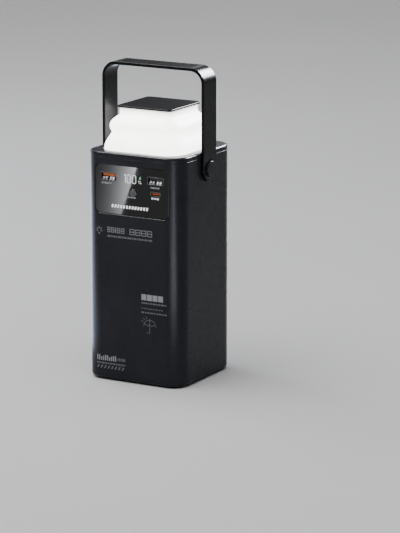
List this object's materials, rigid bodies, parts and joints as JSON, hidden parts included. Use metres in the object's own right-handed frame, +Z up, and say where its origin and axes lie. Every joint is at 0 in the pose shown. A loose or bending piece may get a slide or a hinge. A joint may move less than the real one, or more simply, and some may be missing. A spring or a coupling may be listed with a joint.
{
  "type": "power bank",
  "caption": "Upright portable power bank with a folding carrying handle, a collapsible lantern on top, USB sockets and a display in front, and captive cables in the back.",
  "frame": {"origin": "middle of the footprint, on the surface that the power bank stands on", "axes": "+Z up through the lamp and handle, -Y faces the display and sockets, +Y faces the stowed cables, X runs along the handle pivots"},
  "size_m": [0.0886, 0.08, 0.231],
  "materials": {
    "body_plastic": "fine satin moulding",
    "tray_plastic": "matt moulding",
    "handle_plastic": "satin moulding",
    "lens_plastic": "polished, smoke black",
    "button_plastic": "satin black",
    "gloss_cap": "polished black",
    "frosted_silicone": "translucent, soft, lit from inside",
    "white_plastic": "white moulding",
    "lamp_board": "white solder mask",
    "led": "yellow phosphor, lit",
    "foot_rubber": "soft matt",
    "foam": "closed-cell foam",
    "screw_steel": "zinc plated",
    "washer_plastic": "natural acetal",
    "socket_steel": "tinned sheet",
    "orange_tongue": "orange nylon",
    "circuit_board": "solder mask",
    "digit_block": "black with lit segments",
    "cell_wrap": null,
    "nickel": "nickel-plated strip",
    "insulator_sheet": "barley paper",
    "cable_silicone": "soft silicone skin",
    "grip_plastic": "overmoulded",
    "plug_steel": "bright nickel plate",
    "plug_sleeve": "satin anodised"
  },
  "bodies": {
    "housing": {"anchor_cover_left": "body_plastic", "anchor_cover_right": "body_plastic", "battery_cells_lower": "cell_wrap", "battery_cells_upper": "cell_wrap", "bottom_screws": "screw_steel", "button_switch": "button_plastic", "cable_root_eight_pin": "cable_silicone", "cable_root_micro_usb": "cable_silicone", "cable_root_usb_a": "cable_silicone", "cable_root_usb_c": "cable_silicone", "cable_tray": "tray_plastic", "cell_insulators": "insulator_sheet", "deck_screws": "screw_steel", "digit_module": "digit_block", "display_board": "circuit_board", "display_lens": "lens_plastic", "foam_pad": "foam", "friction_washers": "washer_plastic", "housing_shell": "body_plastic", "lamp_board": "lamp_board", "lamp_deck": "white_plastic", "lamp_leds": "led", "lamp_shade": "frosted_silicone", "main_board": "circuit_board", "nickel_strips": "nickel", "pivot_axle_left": "screw_steel", "pivot_axle_right": "screw_steel", "pivot_cap_left": "body_plastic", "pivot_cap_right": "body_plastic", "pivot_nuts": "screw_steel", "rubber_feet": "foot_rubber", "shade_clamp_ring": "white_plastic", "tie_rods": "screw_steel", "top_bezel": "body_plastic", "usb_a_port_left": "socket_steel", "usb_a_port_right": "socket_steel", "usb_a_tongues": "orange_tongue", "usb_c_port": "socket_steel", "usb_c_tongue": "orange_tongue"},
    "lamp_top": {"lamp_cap": "gloss_cap", "cap_retainer": "white_plastic"},
    "carry_handle": {"handle": "handle_plastic"},
    "button": {"power_button": "button_plastic"},
    "cable_usb_a": {"cable_strap_usb_a": "cable_silicone", "plug_grip_usb_a": "grip_plastic", "connector_usb_a": "plug_steel", "contact_board_usb_a": "orange_tongue"},
    "cable_usb_c": {"cable_strap_usb_c": "cable_silicone", "plug_grip_usb_c": "grip_plastic", "connector_usb_c": "plug_steel", "plug_sleeve_usb_c": "plug_sleeve"},
    "cable_eight_pin": {"cable_strap_eight_pin": "cable_silicone", "plug_grip_eight_pin": "grip_plastic", "connector_eight_pin": "plug_steel", "plug_sleeve_eight_pin": "plug_sleeve"},
    "cable_micro_usb": {"cable_strap_micro_usb": "cable_silicone", "plug_grip_micro_usb": "grip_plastic", "connector_micro_usb": "plug_steel", "plug_sleeve_micro_usb": "plug_sleeve"}
  },
  "joints": [
    {"name": "handle_fold", "type": "hinge", "parent": "housing", "child": "carry_handle", "pos_m": [0, 0, 0.157], "axis": [1, 0, 0], "range_deg": [-135, 135]},
    {"name": "lamp_collapse", "type": "slide", "parent": "housing", "child": "lamp_top", "axis": [0, 0, -1], "range_m": [0, 0.02], "deforming": ["lamp_shade"]},
    {"name": "power_button_press", "type": "slide", "parent": "housing", "child": "button", "axis": [0, 1, 0], "range_m": [0, 0.0004], "stiffness_N_per_m": 2000, "springref_m": -0.0002},
    {"name": "cable_usb_a_swing", "type": "hinge", "parent": "housing", "child": "cable_usb_a", "pos_m": [-0.0219, 0.0377, 0.142], "axis": [1, 0, 0], "range_deg": [0, 95]},
    {"name": "cable_usb_c_swing", "type": "hinge", "parent": "housing", "child": "cable_usb_c", "pos_m": [-0.0073, 0.0377, 0.142], "axis": [1, 0, 0], "range_deg": [0, 95]},
    {"name": "cable_eight_pin_swing", "type": "hinge", "parent": "housing", "child": "cable_eight_pin", "pos_m": [0.0073, 0.0377, 0.142], "axis": [1, 0, 0], "range_deg": [0, 95]},
    {"name": "cable_micro_usb_swing", "type": "hinge", "parent": "housing", "child": "cable_micro_usb", "pos_m": [0.0219, 0.0377, 0.142], "axis": [1, 0, 0], "range_deg": [0, 95]}
  ]
}
